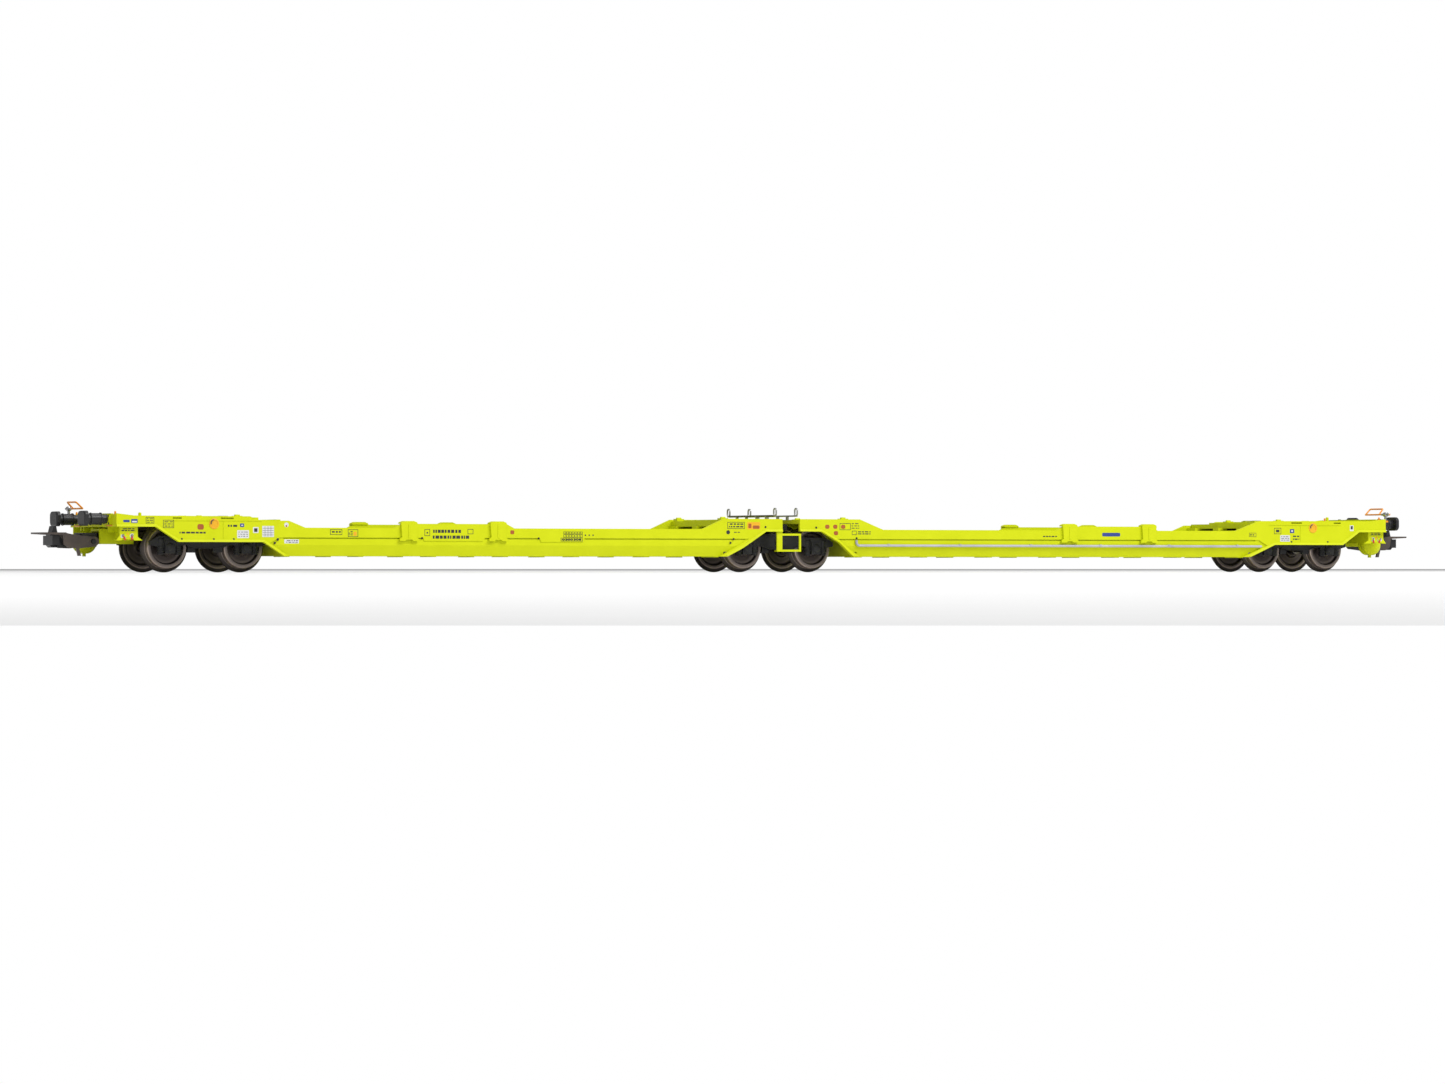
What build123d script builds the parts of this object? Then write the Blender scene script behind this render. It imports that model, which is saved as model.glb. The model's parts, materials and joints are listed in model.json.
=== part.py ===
from build123d import *
import os

# Articulated double pocket wagon, H0 scale (1:87), in millimetres.
# Two half wagons, a (towards -X) and b (towards +X), share the middle bogie at X = 0.
# +X runs along the wagon, +Z is up, and Z = 0 is the lowest point of the wheel flanges.
# Heights named in the outlines are above the rail head: up() adds the flange depth.

os.makedirs("parts", exist_ok=True)

# ---- driving dimensions -------------------------------------------------
TREAD_R = 5.25
FLANGE_R = 6.3
RAIL = FLANGE_R - TREAD_R
AXLE_Z = FLANGE_R
WHEELBASE = 20.6
PIVOT_U = 163.2
BUFFER_FACE_U = 196.5
HEADSTOCK_U = 189.4
BACK_TO_BACK = 14.4
WHEEL_W = 2.8

SIDE_Y = 16.4          # rim of the side plates
PLATE_Y = 16.28        # face of the side plates and of the upper web
BAND_Y = 16.05         # face of the lower band
FOOT_Y = 15.05         # outer foot of the sloping lower face
PLATE_IN_Y = 15.5      # inner face of the platform side plates
SILL_IN_Y = 15.2       # inner face of the long sill
TRACK_Y = 14.3         # edge of the pocket floor
POST_Y = 16.95         # face of the grapple posts

SILL_TOP = 10.3
SHADOW_Z = 7.8         # lower edge of the upper web
BAND_Z = 5.9           # where the lower face starts to slope in
GROOVE_H = 0.32        # groove under the upper web
GROOVE_Y = 15.7
POCKET_Z = 3.1         # underside of the pocket
FLOOR_T = 0.6
PLATFORM_TOP = 13.12
DECK_TOP = 12.85
DECK_LOW = 11.85
STEP_TOP = 12.05
SLOT_LOW = 10.5        # gap over the pocket end wall
SLOT_TOP = 11.1
RIM = 0.75

# Stations along each half, measured outwards from the articulation (X = sign * u).
HALVES = {
    "a": {
        "sign": -1,
        "inner_end": 1.9,
        "inner_ramp": (19.2, 25.6),
        "inner_wall": 19.1,
        "under_inner": ((1.9, 9.7), (6.9, 9.7), (13.7, 5.4), (18.4, POCKET_Z)),
        "band_inner": ((20.4, POCKET_Z), (11.9, SHADOW_Z)),
        "band_outer": ((145.5, SHADOW_Z), (148.2, 6.4), (143.0, POCKET_Z)),
        "under_outer": ((144.4, POCKET_Z), (150.0, 6.6), (172.9, 6.6), (179.0, 10.4)),
        "raised": (81.2, 112.8),
        "posts": (84.9, 110.0),
    },
    "b": {
        "sign": 1,
        "inner_end": 3.3,
        "inner_ramp": (21.4, 28.5),
        "inner_wall": 20.9,
        "under_inner": ((3.3, 9.8), (9.8, 9.75), (15.0, 6.87), (19.3, POCKET_Z)),
        "band_inner": ((21.3, POCKET_Z), (14.4, SHADOW_Z)),
        "band_outer": ((147.3, SHADOW_Z), (150.0, 6.3), (142.2, POCKET_Z)),
        "under_outer": ((144.3, POCKET_Z), (152.4, 6.5), (174.9, 6.5), (180.4, 10.1)),
        "raised": (83.5, 113.4),
        "posts": (86.2, 111.4),
    },
}
RAISED_TOP = 11.4
RAISED_RAMP = 1.1
OUTER_STEPPED = ((153.6, PLATFORM_TOP), (150.9, STEP_TOP), (143.0, STEP_TOP), (138.5, SILL_TOP))
OUTER_STRAIGHT = ((147.6, PLATFORM_TOP), (139.8, SILL_TOP))
OUTER_WALL_U = 145.0
END_WALL_U = 144.2
END_RISE = ((HEADSTOCK_U, 13.75), (184.6, 13.2))

DECK_SLOTS = (151.2, 153.0), (158.0, 161.5), (172.0, 174.4)
SPIGOT_U = (18.0, 155.8)
SPIGOT_Y = 13.0
SPIGOT_HALF = 1.05
POST_W = 4.6
POST_LOW = 7.0
POST_TOP = 12.1

SCREW_R = 1.2
BOGIE_HOLE_R = 1.25
TONGUE_HOLE_R = 1.26
PAD_TOP = 8.95
BOSS_LOW = 9.05
TONGUE_SPLIT = 10.95
TONGUE_TOP = 12.6
TONGUE_R = 2.9

TRESTLE_U = 168.4      # hinge of the kingpin trestle
TRESTLE_Z = 12.62
TRESTLE_LEN = 14.6
TRESTLE_Y = 6.3
TRESTLE_PIN_R = 0.3

RAIL_LOW_U = 190.85     # handle wire over the coupler
RAIL_OUT_U = 192.7
STEM_Y = 14.0
RAIL_WIRE_R = 0.22
HOOP_Y = 13.5          # oval hoops beside the articulation

COUPLER_PIVOT_U = 182.6
COUPLER_PIN_R = 0.8
BAIL_U = 191.0
BAIL_Z = 6.7
BAIL_PIN_R = 0.6
RUNNING = 0.05         # radial clearance of pins in their holes


# ---- helpers ------------------------------------------------------------
def up(z):
    """Height above the rail head -> height above the flange bottoms."""
    return z + RAIL


def block(x, y, z, mode=Mode.ADD):
    """Box between the pairs x, y and z, heights above the rail head."""
    centre = ((x[0] + x[1]) / 2, (y[0] + y[1]) / 2, up((z[0] + z[1]) / 2))
    with Locations(centre):
        Box(abs(x[1] - x[0]), abs(y[1] - y[0]), abs(z[1] - z[0]), mode=mode)


def side_slab(points, y, mode=Mode.ADD):
    """Outline in X and height, as deep across the wagon as the pair y."""
    across = Plane(origin=(0, (y[0] + y[1]) / 2, 0), x_dir=(1, 0, 0), z_dir=(0, -1, 0))
    with BuildSketch(across) as profile:
        with BuildLine():
            Polyline(*[(px, up(pz)) for px, pz in points], close=True)
        make_face()
    extrude(profile.sketch, amount=abs(y[1] - y[0]) / 2, both=True, mode=mode)


def cross_slab(points, x, mode=Mode.ADD):
    """Outline in Y and height, as long along the wagon as the pair x."""
    with BuildSketch(Plane.YZ.offset((x[0] + x[1]) / 2)) as profile:
        with BuildLine():
            Polyline(*[(py, up(pz)) for py, pz in points], close=True)
        make_face()
    extrude(profile.sketch, amount=abs(x[1] - x[0]) / 2, both=True, mode=mode)


def disc(x, y, z, r, mode=Mode.ADD):
    """Upright cylinder at x, y between the heights z."""
    with BuildSketch(Plane.XY.offset(up(z[0]))) as profile:
        with Locations((x, y)):
            Circle(r)
    extrude(profile.sketch, amount=z[1] - z[0], mode=mode)


def cross_bar(x, z, r, y, mode=Mode.ADD):
    """Cylinder across the wagon at x and height z, over the pair y."""
    with BuildSketch(Plane(origin=(0, y[0], 0), x_dir=(1, 0, 0), z_dir=(0, -1, 0))) as profile:
        with Locations((x, up(z))):
            Circle(r)
    extrude(profile.sketch, amount=y[0] - y[1], mode=mode)


def long_bar(y, z, r, x, mode=Mode.ADD):
    """Cylinder along the wagon at y and height z, over the pair x."""
    with BuildSketch(Plane.YZ.offset(x[0])) as profile:
        with Locations((y, up(z))):
            Circle(r)
    extrude(profile.sketch, amount=x[1] - x[0], mode=mode)


def wire(points, r):
    """Round wire through points (x, y, height), with small bends."""
    lifted = [(px, py, up(pz)) for px, py, pz in points]
    with BuildLine() as path:
        FilletPolyline(*lifted, radius=2.2 * r)
    with BuildSketch(Plane(origin=lifted[0], z_dir=path.line % 0)) as profile:
        Circle(r)
    sweep(profile.sketch, path=path.line)


def save(part, name):
    """Label a finished piece and write its STEP file."""
    part.label = name
    export_step(part, f"parts/{name}.step")


# ---- long sills with their platform side plates --------------------------
def sill_top(half, stepped):
    """Top edge from the headstock to the articulation."""
    low, high = half["raised"]
    outer = OUTER_STEPPED if stepped else OUTER_STRAIGHT
    ramp_top, ramp_low = half["inner_ramp"]
    raised = (
        (high + RAISED_RAMP, SILL_TOP),
        (high - RAISED_RAMP, RAISED_TOP),
        (low + RAISED_RAMP, RAISED_TOP),
        (low - RAISED_RAMP, SILL_TOP),
    )
    inner = ((ramp_low, SILL_TOP), (ramp_top, PLATFORM_TOP - 0.07), (half["inner_end"], PLATFORM_TOP - 0.07))
    return END_RISE + outer + raised + inner


def sill_under(half):
    """Lower edge from the articulation to the headstock."""
    outer = half["under_outer"]
    return half["under_inner"] + outer + ((HEADSTOCK_U, outer[-1][1]),)


def plate_face(half):
    """Region of the outer face that lies behind the rim."""
    inner = [(half["inner_end"] - 1, half["under_inner"][0][1] + RIM)]
    inner += [(u - 0.35, z + RIM) for u, z in half["under_inner"][1:3]]
    inner += [half["band_inner"][1]]
    outer = [half["band_outer"][0]]
    outer += [(half["under_outer"][1][0] + 0.6, SHADOW_Z)]
    outer += [(half["under_outer"][1][0] + 1.2, half["under_outer"][1][1] + RIM)]
    outer += [(u - 0.35, z + RIM) for u, z in half["under_outer"][2:]]
    outer += [(HEADSTOCK_U + 1, half["under_outer"][-1][1] + RIM)]
    return inner + outer + [(HEADSTOCK_U + 1, 15), (half["inner_end"] - 1, 15)]


def mirrored(half, points):
    return [(half["sign"] * u, z) for u, z in points]


def make_sill(half, side):
    """One sill: side is -1 near, +1 far. The stepped end is near on a and far on b."""
    sign = half["sign"]
    stepped = side == sign
    pocket = (sign * half["inner_wall"], sign * half["under_outer"][0][0])
    with BuildPart() as band:
        cross_slab(
            [
                (side * 18, SHADOW_Z), (side * BAND_Y, SHADOW_Z), (side * BAND_Y, BAND_Z),
                (side * FOOT_Y, POCKET_Z), (side * FOOT_Y, 2), (side * 18, 2),
            ],
            (sign * 8, sign * 152),
        )
        inner_low, inner_high = half["band_inner"]
        region = [(inner_low[0] + 1.9, 2), inner_low, inner_high, *half["band_outer"]]
        region += [(half["band_outer"][2][0] - 1.8, 2)]
        side_slab(mirrored(half, region), (side * 10, side * 20), Mode.INTERSECT)
    groove_x = (sign * (half["band_inner"][1][0] + 1.0), sign * (half["band_outer"][0][0] - 1.0))
    with BuildPart() as sill:
        outline = mirrored(half, sill_top(half, stepped) + sill_under(half))
        side_slab(outline, (side * SIDE_Y, side * TRACK_Y))
        # inside of the pocket, above the foot that carries the floor
        cross_slab(
            [
                (side * TRACK_Y, POCKET_Z + FLOOR_T), (side * SILL_IN_Y, BAND_Z), (side * SILL_IN_Y, 20),
                (side * 10, 20), (side * 10, POCKET_Z + FLOOR_T),
            ],
            pocket,
            Mode.SUBTRACT,
        )
        block((sign * -1, pocket[0]), (side * PLATE_IN_Y, side * 10), (0, 20), Mode.SUBTRACT)
        block((pocket[1], sign * 200), (side * PLATE_IN_Y, side * 10), (0, 20), Mode.SUBTRACT)
        side_slab(mirrored(half, plate_face(half)), (side * PLATE_Y, side * 20), Mode.SUBTRACT)
        add(band.part, mode=Mode.SUBTRACT)
        # shadow groove under the upper web
        block(groove_x, (side * GROOVE_Y, side * 17), (SHADOW_Z - GROOVE_H, SHADOW_Z), Mode.SUBTRACT)
        # lashing slots and the seams of the platform side plate
        for low, high in DECK_SLOTS[(1 if not stepped else 0):]:
            block((sign * low, sign * high), (side * 15, side * 17), (12.42, 12.78), Mode.SUBTRACT)
        groove = (side * (PLATE_Y - 0.12), side * 17)
        block((sign * 150.5, sign * 174.4), groove, (11.8, 11.92), Mode.SUBTRACT)
        block((sign * 160.84, sign * 160.96), groove, (7.4, 11.8), Mode.SUBTRACT)
    return sill.part


# ---- platforms -----------------------------------------------------------
def pocket_end(sign, wall_u, face_u, direction, top):
    """Low end wall of the pocket and the beam over the slot above it."""
    wall = (sign * wall_u, sign * (wall_u + direction * 0.8))
    beam = (sign * face_u, sign * (face_u + direction * 1.3))
    block(wall, (-TRACK_Y, TRACK_Y), (POCKET_Z + FLOOR_T, BAND_Z))
    block(wall, (-SILL_IN_Y, SILL_IN_Y), (BAND_Z, SLOT_LOW))
    block(beam, (-PLATE_IN_Y, PLATE_IN_Y), (SLOT_TOP, top))
    for y in ((-SILL_IN_Y, -10.8), (-1.4, 1.4), (10.8, SILL_IN_Y)):
        block((wall[0], beam[1]), y, (SLOT_LOW - 1.2, SLOT_TOP + 0.2))


def make_outer_deck(half):
    sign = half["sign"]
    with BuildPart() as deck:
        block((sign * 145.0, sign * 151.2), (-PLATE_IN_Y, PLATE_IN_Y), (DECK_LOW, STEP_TOP + 0.2))
        block((sign * 151.0, sign * HEADSTOCK_U), (-PLATE_IN_Y, PLATE_IN_Y), (DECK_LOW, DECK_TOP))
        pocket_end(sign, END_WALL_U - 0.8, OUTER_WALL_U, 1, STEP_TOP + 0.3)
        # well for the folded trestle, with two hinge lugs
        block((sign * 152.2, sign * 170.2), (-7.0, 7.0), (12.2, 14), Mode.SUBTRACT)
        for y in ((-7.8, -7.0), (7.0, 7.8)):
            block((sign * (TRESTLE_U - 0.9), sign * (TRESTLE_U + 0.9)), y, (12.4, 13.3))
        cross_bar(sign * TRESTLE_U, TRESTLE_Z, TRESTLE_PIN_R + RUNNING, (8.0, -8.0), Mode.SUBTRACT)
        # wheel recesses on the top edge and ribs across the outer part
        for u in (176.5, 180.5, 184.5):
            block((sign * u, sign * (u + 0.7)), (-PLATE_IN_Y, PLATE_IN_Y), (DECK_TOP - 0.1, DECK_TOP + 0.2))
        for y in (-11.4, 11.4):
            block((sign * 158.0, sign * 172.5), (y - 1.9, y + 1.9), (DECK_TOP - 0.1, DECK_TOP + 0.18))
        # boss for the bogie screw
        disc(sign * PIVOT_U, 0, (BOSS_LOW, DECK_LOW), 2.8)
        disc(sign * PIVOT_U, 0, (BOSS_LOW - 1, 11.2), SCREW_R, Mode.SUBTRACT)
        # hanger for the coupler pocket
        block((sign * 180.4, sign * 184.4), (-3.0, 3.0), (10.0, DECK_LOW))
    return deck.part


def make_inner_deck(half):
    sign = half["sign"]
    end = half["inner_end"]
    with BuildPart() as deck:
        block((sign * end, sign * half["inner_wall"]), (-PLATE_IN_Y, PLATE_IN_Y), (DECK_LOW, 12.6))
        raised = (sign * end, sign * (SPIGOT_U[0] - SPIGOT_HALF))
        block(raised, (-PLATE_IN_Y, PLATE_IN_Y), (12.5, DECK_TOP))
        pocket_end(sign, half["inner_wall"] + 0.8, half["inner_wall"], -1, 12.5)
        for u in (7.5, 12.0):
            block((sign * u, sign * (u + 0.7)), (-11.5, 11.5), (DECK_TOP - 0.1, DECK_TOP + 0.15))
        disc(0, 0, (DECK_LOW - 3, 14), 3.4, Mode.SUBTRACT)
        if sign > 0:
            block((0, 6), (-2.4, 2.4), (TONGUE_SPLIT + 0.05, TONGUE_TOP))
            disc(0, 0, (TONGUE_SPLIT + 0.05, TONGUE_TOP), TONGUE_R)
            disc(0, 0, (DECK_LOW - 3, 14), TONGUE_HOLE_R, Mode.SUBTRACT)
    return deck.part


def make_pocket_floor(half):
    """Two raised wheel tracks joined by cross members, with a lip along each inner edge."""
    sign = half["sign"]
    low = half["inner_wall"]
    high = END_WALL_U
    lip = (sign * (low + 0.8), sign * (high - 0.8))
    pad = (sign * (low + 1.5), sign * (high - 1.5))
    with BuildPart() as floor:
        for side in (-1, 1):
            block((sign * low, sign * high), (side * TRACK_Y, side * 6.2), (POCKET_Z, POCKET_Z + FLOOR_T))
            block(lip, (side * 6.9, side * 6.2), (POCKET_Z, POCKET_Z + FLOOR_T + 0.35))
            block(pad, (side * 14.2, side * 7.1), (POCKET_Z, POCKET_Z + FLOOR_T + 0.1))
        count = 7
        pitch = (high - low - 3.0) / (count - 1)
        for index in range(count):
            start = low + pitch * index
            block((sign * start, sign * (start + 3.0)), (-6.3, 6.3), (POCKET_Z, POCKET_Z + FLOOR_T))
        for side in (-1, 1):
            for index in range(count):
                start = low + pitch * index + 0.8
                block((sign * start, sign * (start + 1.4)), (side * 14.2, side * 7.0), (POCKET_Z - 0.22, POCKET_Z))
    return floor.part


# ---- headstock, panels, drum, hand rail ----------------------------------
def make_headstock(half):
    """End beam with gussets and the lower plate that guards the coupler pocket."""
    sign = half["sign"]
    low = half["under_outer"][-1][1]
    with BuildPart() as beam:
        block((sign * (HEADSTOCK_U - 1.4), sign * HEADSTOCK_U), (-PLATE_IN_Y, PLATE_IN_Y), (low, DECK_LOW))
        block((sign * (HEADSTOCK_U - 1.1), sign * HEADSTOCK_U), (-PLATE_IN_Y, PLATE_IN_Y), (DECK_TOP, 13.5))
        block((sign * (HEADSTOCK_U - 0.7), sign * HEADSTOCK_U), (-12.2, 12.2), (13.4, 13.75))
        cross_slab(
            [
                (-14.4, low + 0.2), (-14.4, 7.6), (-12.9, 7.0), (-4.2, 7.0), (-4.2, 9.95), (4.2, 9.95),
                (4.2, 7.0), (12.9, 7.0), (14.4, 7.6), (14.4, low + 0.2),
            ],
            (sign * 184.5, sign * 185.3),
        )
        block((sign * 184.5, sign * (HEADSTOCK_U - 0.2)), (-14.4, 14.4), (low, low + 0.5))
        for y in (-13.4, -5.4, 5.4, 13.4):
            block((sign * 185.3, sign * 187.6), (y - 0.25, y + 0.25), (9.0, low + 0.2))
        for y in (-10.05, 10.05):
            block((sign * HEADSTOCK_U, sign * (HEADSTOCK_U + 0.35)), (y - 2.1, y + 2.1), (10.9, 13.4))
    return beam.part


def make_panels(half):
    """Brake setting panels under both corners of the headstock, with splayed feet."""
    sign = half["sign"]
    low = half["under_outer"][-1][1]
    with BuildPart() as panels:
        for side in (-1, 1):
            inner, outer = (183.4, 188.2) if side == sign else (184.2, 189.2)
            foot = 6.95
            shape = [
                (inner, low), (inner, foot + 0.9), (inner - 1.3, foot), (inner + 0.8, foot),
                (inner + 1.1, foot + 0.35), (outer - 0.9, foot + 0.35), (outer - 0.3, foot),
                (outer + 0.9, foot), (outer, foot + 1.2), (outer, low),
            ]
            side_slab(mirrored(half, shape), (side * 15.35, side * 14.85))
            block((sign * (inner + 0.9), sign * (inner + 1.5)), (side * 15.6, side * 15.3), (7.9, 8.4))
            block((sign * (outer - 1.9), sign * (outer - 1.1)), (side * 15.6, side * 15.3), (7.8, 8.6))
    return panels.part


def make_drum(half):
    """Air reservoir across the wagon, with domed ends, two straps and a drain cock."""
    sign = half["sign"]
    side = -sign
    centre_u = 188.3
    low = half["under_outer"][-1][1]
    x = sign * centre_u
    with BuildPart() as drum:
        with BuildSketch(Plane(origin=(x, 0, up(6.6)), x_dir=(0, 1, 0), z_dir=(sign, 0, 0))):
            with BuildLine():
                Line((side * 7.2, 0), (side * 12.2, 0))
                Spline((side * 12.2, 0), (side * 12.0, 1.7), (side * 11.2, 2.75))
                Line((side * 11.2, 2.75), (side * 8.2, 2.75))
                Spline((side * 8.2, 2.75), (side * 7.4, 1.7), (side * 7.2, 0))
            make_face()
        revolve(axis=Axis((x, 0, up(6.6)), (0, 1, 0)))
        for y in (8.4, 10.4):
            cross_bar(x, 6.6, 2.9, (max(side * y, side * (y + 0.6)), min(side * y, side * (y + 0.6))))
            block((x - 0.5, x + 0.5), (side * y, side * (y + 0.6)), (6.6, low))
        block((x - 0.35, x + 0.35), (side * 9.4, side * 10.1), (3.0, 4.2))
    return drum.part


def make_hand_rail(half):
    """Bent wire handle that leans outwards, on an arm from a stem at the headstock's end."""
    sign = half["sign"]
    side = -sign
    low_x = sign * RAIL_LOW_U
    out_x = sign * RAIL_OUT_U
    with BuildPart() as rail:
        loop = [
            (low_x, side * 4.0, 15.1), (out_x, side * 3.6, 16.7), (out_x, side * 10.0, 16.7),
            (low_x, side * 10.8, 15.1),
        ]
        wire(loop, RAIL_WIRE_R)
        arm = (side * 4.0, side * 16.1)
        cross_bar(low_x, 15.1, RAIL_WIRE_R, (max(arm), min(arm)))
        disc(low_x, side * STEM_Y, (13.1, 15.4), 0.3)
        disc(low_x, side * STEM_Y, (14.7, 15.5), 0.5)
        block(
            (sign * HEADSTOCK_U, low_x + sign * 0.5), (side * (STEM_Y - 0.6), side * (STEM_Y + 0.6)), (12.9, 13.4),
        )
    return rail.part


# ---- posts and spigots ---------------------------------------------------
def make_posts(half):
    """Grapple posts on the sills: a face plate, a rounded pad and two feet each."""
    with BuildPart() as posts:
        for centre in half["posts"]:
            x = half["sign"] * centre
            for side in (-1, 1):
                face = (side * PLATE_Y, side * POST_Y)
                left = x - POST_W / 2
                right = x + POST_W / 2
                outline = [
                    (left, RAISED_TOP), (left + 0.3, 8.0), (left - 0.35, 7.5), (left - 0.35, POST_LOW),
                    (left + 1.2, POST_LOW), (left + 1.5, 7.35), (right - 1.5, 7.35), (right - 1.2, POST_LOW),
                    (right + 0.35, POST_LOW), (right + 0.35, 7.5), (right - 0.3, 8.0), (right, RAISED_TOP),
                ]
                side_slab(outline, face)
                pad = [
                    (left, RAISED_TOP), (left + 0.1, 11.75), (left + 1.0, POST_TOP), (right - 1.0, POST_TOP),
                    (right - 0.1, 11.75), (right, RAISED_TOP),
                ]
                side_slab(pad, (side * POST_Y, side * 14.9))
                rib = (side * POST_Y, side * (POST_Y + 0.12))
                block((x - 0.25, x + 0.25), rib, (7.8, 11.2))
    return posts.part


def make_spigots(half):
    """Container spigots on both platforms."""
    with BuildPart() as spigots:
        for u in SPIGOT_U:
            x = half["sign"] * u
            for side in (-1, 1):
                y = side * SPIGOT_Y
                base = 12.6 if u == SPIGOT_U[0] else DECK_TOP
                block((x - SPIGOT_HALF, x + SPIGOT_HALF), (y - 1.1, y + 1.1), (base, 13.25))
                with BuildSketch(Plane.XY.offset(up(13.25))):
                    with Locations((x, y)):
                        RectangleRounded(1.5, 0.9, 0.25)
                extrude(amount=0.35, taper=18)
    return spigots.part


# ---- trestle --------------------------------------------------------------
def make_trestle(half):
    """Kingpin trestle folded flat: two legs, a head plate with a slot, a hinge pin."""
    sign = half["sign"]
    thick = (TRESTLE_Z - 0.32, TRESTLE_Z + 0.32)
    tip = TRESTLE_U - TRESTLE_LEN
    with BuildPart() as trestle:
        with BuildSketch(Plane.XY.offset(up(thick[0]))):
            for side in (-1, 1):
                with BuildLine():
                    Polyline(
                        (sign * (TRESTLE_U + 0.2), side * TRESTLE_Y), (sign * (TRESTLE_U + 0.2), side * 4.9),
                        (sign * (tip + 1.0), side * 2.4), (sign * tip, side * 3.4),
                        (sign * tip, side * 4.2), close=True,
                    )
                make_face()
            with Locations((sign * (tip + 1.6), 0)):
                RectangleRounded(3.2, 8.4, 0.5)
            with Locations((sign * (TRESTLE_U - 6.5), 0)):
                Rectangle(1.0, 9.0)
            with Locations((sign * (tip + 1.2), 0)):
                Circle(0.75, mode=Mode.SUBTRACT)
        extrude(amount=thick[1] - thick[0])
        block((sign * (tip + 0.3), sign * (tip + 2.9)), (-3.4, -1.2), (TRESTLE_Z, TRESTLE_Z + 0.6))
        block((sign * (tip + 0.3), sign * (tip + 2.9)), (1.2, 3.4), (TRESTLE_Z, TRESTLE_Z + 0.6))
        cross_bar(sign * TRESTLE_U, TRESTLE_Z, TRESTLE_PIN_R, (7.7, -7.7))
    return trestle.part


# ---- buffers --------------------------------------------------------------
def make_buffer_sleeves(half):
    sign = half["sign"]
    with BuildPart() as sleeves:
        for y in (-10.05, 10.05):
            long_bar(y, 12.35, 1.15, (sign * (HEADSTOCK_U + 0.35), sign * 191.2))
            long_bar(y, 12.35, 1.45, (sign * 191.2, sign * 194.2))
            long_bar(y, 12.35, 1.2, (sign * 194.2, sign * 195.4))
            long_bar(y, 12.35, 1.6, (sign * 191.2, sign * 191.5))
    return sleeves.part


def make_buffer_heads(half):
    """Rectangular heads with rounded corners and a gently domed face."""
    sign = half["sign"]
    with BuildPart() as heads:
        for y in (-10.05, 10.05):
            with BuildSketch(Plane(origin=(sign * 195.4, y, up(12.5)), x_dir=(0, 1, 0), z_dir=(sign, 0, 0))):
                RectangleRounded(5.4, 3.8, 1.2)
            extrude(amount=BUFFER_FACE_U - 195.4)
        outer_faces = heads.faces().filter_by(Axis.X).group_by(Axis.X)[-1 if sign > 0 else 0]
        fillet(outer_faces.edges(), 0.45)
    return heads.part


# ---- couplers --------------------------------------------------------------
def make_coupler_pocket(half):
    """Fixed draw box under the platform, open to the front, with the pivot pin."""
    sign = half["sign"]
    with BuildPart() as pocket:
        for height in ((9.3, 9.9), (6.1, 6.6)):
            block((sign * 179.8, sign * 189.0), (-3.0, 3.0), height)
        block((sign * 180.4, sign * 184.4), (-3.0, 3.0), (9.9, 10.0))
        block((sign * 179.8, sign * 180.5), (-3.0, 3.0), (6.1, 9.9))
        for side in (-1, 1):
            block((sign * 179.8, sign * 189.0), (side * 2.7, side * 3.0), (6.1, 9.9))
        disc(sign * COUPLER_PIVOT_U, 0, (6.5, 9.4), COUPLER_PIN_R)
    return pocket.part


def make_coupler_head(half):
    """Tongue, shank and hook head with the bail's pivot pin."""
    sign = half["sign"]
    with BuildPart() as head:
        block((sign * COUPLER_PIVOT_U, sign * 191), (-1.2, 1.2), (6.8, 8.9))
        disc(sign * COUPLER_PIVOT_U, 0, (6.8, 8.9), 1.6)
        disc(sign * COUPLER_PIVOT_U, 0, (5, 10), COUPLER_PIN_R + RUNNING, Mode.SUBTRACT)
        block((sign * 189.8, sign * 193.4), (-3.2, 3.2), (5.4, 8.9))
        hook = [
            (192.6, 5.3), (201.0, 5.2), (201.6, 5.8), (201.6, 8.2), (201.1, 8.7), (200.6, 10.6),
            (199.9, 10.7), (199.5, 8.8), (198.3, 7.4), (196.9, 6.8), (195.4, 7.3), (194.6, 8.4), (192.6, 8.9),
        ]
        side_slab(mirrored(half, hook), (-1.5, 1.5))
        block((sign * 199.7, sign * 201.6), (-3.4, 3.4), (5.8, 8.2))
        block((sign * 193.0, sign * 200.0), (-3.0, 3.0), (5.3, 6.6))
        cross_bar(sign * BAIL_U, BAIL_Z, BAIL_PIN_R, (4.9, -4.9))
    return head.part


def make_bail(half):
    """Lifting loop: two cheek plates, the loop in front and the trip pin below."""
    sign = half["sign"]
    with BuildPart() as bail:
        for side in (-1, 1):
            cheek = [
                (189.6, 6.2), (190.3, 5.5), (194.4, 5.0), (197.4, 5.1), (198.9, 6.0), (199.2, 8.2),
                (198.8, 9.0), (197.0, 8.6), (193.0, 8.1), (190.2, 7.9), (189.6, 7.3),
            ]
            side_slab(mirrored(half, cheek), (side * 4.35, side * 3.75))
            bar = [(198.2, 8.3), (204.5, 8.6), (204.5, 9.0), (198.2, 9.0)]
            side_slab(mirrored(half, bar), (side * 4.35, side * 3.75))
        block((sign * 203.8, sign * 204.5), (-4.35, 4.35), (8.6, 9.0))
        cross_bar(sign * BAIL_U, BAIL_Z, BAIL_PIN_R + RUNNING, (6, -6), Mode.SUBTRACT)
        pin = [(194.9, 5.4), (194.3, 3.1), (195.1, 3.1), (195.7, 5.4)]
        side_slab(mirrored(half, pin), (-4.35, -3.75))
    return bail.part


# ---- articulation -----------------------------------------------------------
def make_joint_tongue():
    """Lower ring of the articulation, under the platform of half a."""
    with BuildPart() as tongue:
        block((-9, 0), (-3, 3), (BOSS_LOW, TONGUE_SPLIT - 0.05))
        disc(0, 0, (BOSS_LOW, TONGUE_SPLIT - 0.05), TONGUE_R)
        block((-9, -5), (-3, 3), (TONGUE_SPLIT - 0.1, DECK_LOW))
        disc(0, 0, (8, 12), SCREW_R, Mode.SUBTRACT)
    return tongue.part


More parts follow.
